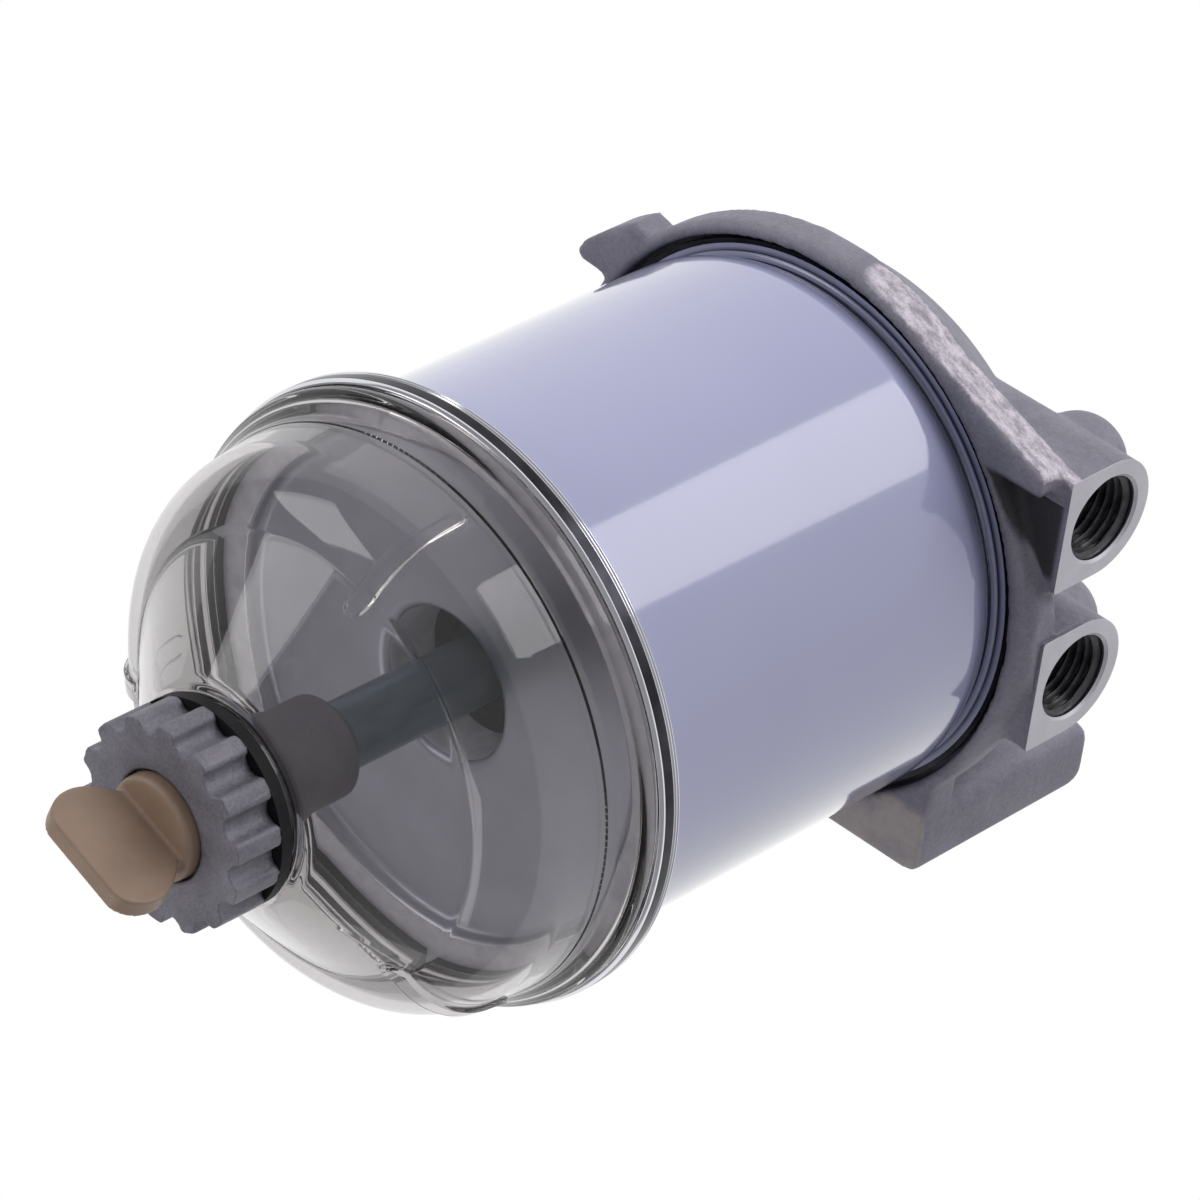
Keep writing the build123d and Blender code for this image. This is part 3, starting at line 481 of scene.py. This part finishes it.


# Painted shade: the upper plate, seen only in the gap under the head, is near-black tin.
dress(painted_shade_tin, "canister_top_plate")
plate_profile = rounded([
    (10.6, NECK_TOP, 0.3), (NECK_R, PAN_LOW, 1.7), (PAN_EDGE_R, PAN_LOW, 1.0), (40.0, FLAT_Z, 0.8),
    (SKIRT_IN_R, FLAT_Z, 0.5), (SKIRT_IN_R, SKIRT_FOOT_Z, 0.15), (47.4, SKIRT_FOOT_Z, 0.15),
    (SKIRT_R, -3.0, 0.3), (SKIRT_R, -1.2, 0.15), (LINE_R, LINE_ZS[0], 0.1), (SKIRT_R, -0.7, 0.15),
    (SKIRT_R, -0.62, 0.03), (LINE_R, LINE_ZS[1], 0.1), (SKIRT_R, -0.15, 0.1), (47.8, 0.0, 0.05),
    (40.6, 0.0, 0.5), (39.6, PAN_LOW + SHEET_T, 0.5), (NECK_R + SHEET_T, PAN_LOW + SHEET_T, 0.6),
    (NECK_R + SHEET_T, NECK_TOP, 0.3)], 9)
bottom_plate = mesh_piece("bottom_plate", *turned_profile(plate_profile), tin, "head_and_canister",
                          "tinned_steel", "canister_bottom_plate")
bottom_plate.data.materials.append(painted_shade_tin)
bottom_plate.data.materials.append(painted_light_tin)

# Painted dark reflection: the skirt's side is near-black tin; painted light: the neck's inside and the flat
# ring over the bowl's lip are rough light grey.
r, z = ((plate_profile + np.roll(plate_profile, -1, axis=0)) / 2).T
skirt = (r > SKIRT_R - 0.2) & (z > -2.9) & (z < -0.9)
neck = (r < NECK_R) & (z > 1.6)
flat = (r > FLAT_FROM_R) & (r < SKIRT_IN_R - 0.1) & (np.abs(z - FLAT_Z) < 0.3)
finish = np.select([skirt, neck | flat], [1, 2], 0)
bottom_plate.data.polygons.foreach_set("material_index", np.repeat(finish, TURN_SEGMENTS).astype(np.int32))


# Filter element inside the can: resin-treated paper, folded in pleats round the core.
# Its end caps and core are tinned like the plates.
paper, paper_shader, at_paper = material("filter_paper", roughness=0.85)
fibre = noise_on(at_paper, 1500, 4.0, 0.7)
feed(paper_shader, at_paper,
     base_color=fibre.between(0.2, 0.8).blend((0.62, 0.50, 0.28), (0.76, 0.66, 0.42)),
     bump=fibre * 0.00004)
dress(paper, "filter_paper")
dress(tin, "upper_end_cap", "lower_end_cap", "perforated_core")


# Rubber seals: moulded black nitrile, matt with a faint bloom, pressed between the parts that they seal.
# The grommet fills the pan's neck round the centre tube.
GROMMET_R, GROMMET_LOW, GROMMET_TOP, GROMMET_EDGE = 5.3, 9.3, 11.1, 0.3
rubber, rubber_shader, at_rubber = material("black_rubber", roughness=0.6, specular_ior_level=0.2)
bloom = noise_on(at_rubber, 240, 3.0)
feed(rubber_shader, at_rubber,
     base_color=bloom.between(0.3, 0.8).blend((0.006, 0.006, 0.007), (0.016, 0.016, 0.018)),
     roughness=0.5 + bloom * 0.2, bump=bloom * 0.00002)
dress(rubber, "head_seal_ring", "top_centre_seal", "bowl_seal_ring", "nut_seal_washer", "neck_o_ring",
      "drain_o_ring")
grommet_corners = [
    (GROMMET_R, GROMMET_LOW), (6.6, GROMMET_LOW), (7.6, NECK_TOP), (NECK_R + SHEET_T, NECK_TOP),
    (NECK_R + SHEET_T, GROMMET_TOP), (GROMMET_R, GROMMET_TOP)]
grommet_profile = rounded([(*corner, GROMMET_EDGE) for corner in grommet_corners], 5)
mesh_piece("grommet", *turned_profile(grommet_profile), rubber, "head_and_canister", "black_rubber",
           "bottom_grommet")


# Centre tube: steel pipe, zinc plated with a bluish passivation.
# It is threaded into the head and carries the hand nut's thread at its lower end.
zinc, zinc_shader, at_zinc = material("blue_zinc", metallic=0.7, roughness=0.32)
plating = noise_on(at_zinc, 300, 3.0, 0.6, (1, 1, 0.3))
feed(zinc_shader, at_zinc,
     base_color=plating.between(0.2, 0.8).blend((0.12, 0.17, 0.205), (0.20, 0.26, 0.30)),
     roughness=0.26 + plating * 0.16, bump=plating * 0.00002)
dress(zinc, "centre_tube")


# Sediment bowl: one clear, slightly smoked plastic moulding with a beaded lip, a rounded shoulder and
# three raised grip ribs. The hand nut presses its lip against the rim's rubber ring.
# Light that has bounced too long inside its wall leaves it straight on, as shadow rays do.
CLEAR_TINT, LONG_PATH = (0.59, 0.575, 0.575), 5.5
SHOULDER = ((43.2, -16.0), (41.0, -22.2), (34.2, -26.9))
SHOULDER_INSIDE = ((33.22, -25.77), (39.725, -21.41), (41.7, -16.0))
RIB_W, RIB_PROUD, RIB_SIDE, RIB_ANGLES = 3.4, 0.8, 0.34, np.array([-74.0, 46.0, 166.0])
RIB_TOP_Z, RIB_LOW_R, RIB_REACH_DEG, BOWL_STEP_DEG = -13.7, 32.7, 5.6, 1.5

clear, _, at_clear = material("clear_plastic", base_color=CLEAR_TINT, roughness=0.0, ior=1.45,
                              transmission_weight=1.0, specular_ior_level=0.5)
long_path = at_clear.node("ShaderNodeLightPath", out="Ray Depth").math("GREATER_THAN", LONG_PATH)
swap_surface(at_clear, rays(at_clear, "Shadow").math("MAXIMUM", long_path),
             at_clear.node("ShaderNodeBsdfTransparent", {"Color": CLEAR_TINT}))


def arc_through(a, b, c, steps):
    """Points on the circle through three points, from the first to the last. As complex numbers measured
    from the first point, with w the last one over the middle one, the centre is the middle one times
    (w - |w| squared) / (2i times w's imaginary part), and the points stand round it at even angles."""
    a, b, c = (complex(*point) for point in (a, b, c))
    w = (c - a) / (b - a)
    centre = a + (b - a) * (w - abs(w) ** 2) / (2j * w.imag)
    turn = np.angle((b - centre) / (a - centre)) + np.angle((c - centre) / (b - centre))
    spokes = centre + (a - centre) * np.exp(1j * turn * np.linspace(0, 1, steps))
    return np.stack([spokes.real, spokes.imag], -1)


bowl_lip = rounded([
    (44.9, -2.4, 0.25), (46.4, -2.4, 0.25), (46.4, -4.0, 0.15), (47.2, -4.0, 0.6), (47.2, -5.5, 0.8),
    (46.3, -6.5, 0.6), (44.1, -9.6, 1.2), (*SHOULDER[0], 0), (44.9, -5.5, 0)], 7)[:-2]
bowl_outside = np.concatenate([
    np.linspace((44.0, -10.3), SHOULDER[0], 20)[:-1], arc_through(*SHOULDER, 50)[:-1],
    np.linspace(SHOULDER[2], (17.2, -41.7), 64)])
bowl_foot = rounded([
    (*SHOULDER[2], 0), (16.6, -42.2, 0.6), (15.4, -42.2, 0.5), (15.4, -43.5, 0.4), (8.3, -43.5, 0.3),
    (8.3, -38.6, 0.3), (10.7, -38.6, 0.3), (10.7, -41.07, 0.6), (15.62, -41.07, 1.5),
    (*SHOULDER_INSIDE[0], 0)], 6)[1:-1]
bowl_inside = np.concatenate([
    np.linspace((17.09, -39.78), SHOULDER_INSIDE[0], 16)[:-1], arc_through(*SHOULDER_INSIDE, 18)[:-1],
    np.linspace(SHOULDER_INSIDE[2], (42.6, -9.6), 8),
    rounded([(42.6, -9.6, 0.8), (44.9, -5.5, 0.8), (44.9, -2.4, 0)], 6)[6:-1]])
bowl_profile = np.concatenate([bowl_lip, bowl_outside, bowl_foot, bowl_inside])

def from_nearest_rib(angles):
    """How far each angle lies from the rib that is nearest to it, in degrees."""
    return np.min(np.abs((angles[:, None] - RIB_ANGLES + 180) % 360 - 180), axis=1)


# The angles round the bowl lie close together at the ribs' sides and evenly spaced between the ribs.
beside_rib = np.concatenate([[0.8], np.arange(1.4, 3.5, 0.12), [4.0, 4.8]])
near_ribs = RIB_ANGLES[:, None] + np.concatenate([-beside_rib, [0.0], beside_rib])
evenly = np.arange(0, 360, BOWL_STEP_DEG)
between_ribs = evenly[from_nearest_rib(evenly) > RIB_REACH_DEG]
bowl_angles = np.sort(np.concatenate([near_ribs.ravel() % 360, between_ribs]))


def ribbed_bowl():
    """The profile turned round, with each outside point moved out along the profile's normal by a rib's
    height. A rib is a bar with round ends: its height falls off smoothly where the distance to the bar's
    middle line, taken from the length along the wall and the arc across it, passes half its width."""
    r, z = bowl_profile.T
    step = np.roll(bowl_profile, -1, 0) - np.roll(bowl_profile, 1, 0)
    out_r, out_z = np.stack([-step[:, 1], step[:, 0]]) / np.linalg.norm(step, axis=1)
    outside = slice(len(bowl_lip), len(bowl_lip) + len(bowl_outside))
    along = np.concatenate([[0], np.cumsum(np.hypot(*np.diff(bowl_profile, axis=0).T))])
    top = np.interp(-RIB_TOP_Z, -z[outside], along[outside])
    low = np.interp(-RIB_LOW_R, -r[outside], along[outside])
    beyond = np.maximum(0, np.maximum(top - along, along - low))
    across = np.radians(from_nearest_rib(bowl_angles))
    distance = np.hypot(beyond[:, None], r[:, None] * across)
    fall = np.clip((distance - RIB_W / 2 + RIB_SIDE) / RIB_SIDE, 0, 1)
    height = np.zeros_like(distance)
    height[outside] = RIB_PROUD * (1 - fall * fall * (3 - 2 * fall))[outside]
    r, z = r[:, None] + out_r[:, None] * height, z[:, None] + out_z[:, None] * height
    return turned(r, z, np.radians(bowl_angles))


mesh_piece("bowl", *ribbed_bowl(), clear, "head_and_canister", "clear_plastic", "sediment_bowl")


# Hand nut: a lobed wheel and its long neck in one zinc die casting, threaded on the centre tube.
# Painted shade: the neck, which stands inside the bowl, is coloured darker than the wheel.
NUT_VOXEL, NUT_ROUNDS, NECK_FROM_Z = 0.3, 3, (-42.0, -39.0)
die_cast, die_shader, at_die = material("die_casting", metallic=0.35, roughness=0.5)
grain = noise_on(at_die, 1900, 4.0, 0.65)
stain = noise_on(at_die, 120, 3.0)
skin = (stain * 0.6 + grain * 0.6).between(0.3, 0.9).blend((0.125, 0.12, 0.145), (0.27, 0.26, 0.30))
painted_neck_shade = place_in_mm(at_die)[2].between(*NECK_FROM_Z)
feed(die_shader, at_die, base_color=(painted_neck_shade * 0.4).blend(skin, (0.055, 0.052, 0.062)),
     roughness=0.42 + grain * 0.18, bump=grain * 0.00012)
soft_piece("nut_casting", "hand_nut", die_cast, "hand_nut", NUT_VOXEL, NUT_ROUNDS)


# Drain screw: beige plastic moulding with a flat thumb paddle on a round head.
# Its threaded shank runs in the hand nut.
SCREW_VOXEL, SCREW_ROUNDS = 0.26, 6
beige, beige_shader, at_beige = material("beige_plastic", roughness=0.45)
mould = noise_on(at_beige, 90, 3.0)
texture = noise_on(at_beige, 1500, 3.0)
feed(beige_shader, at_beige,
     base_color=mould.between(0.3, 0.7).blend((0.30, 0.205, 0.145), (0.36, 0.25, 0.18)),
     roughness=0.38 + texture * 0.14, bump=texture * 0.00002)
soft_piece("thumb_screw", "drain_screw", beige, "drain_screw", SCREW_VOXEL, SCREW_ROUNDS)
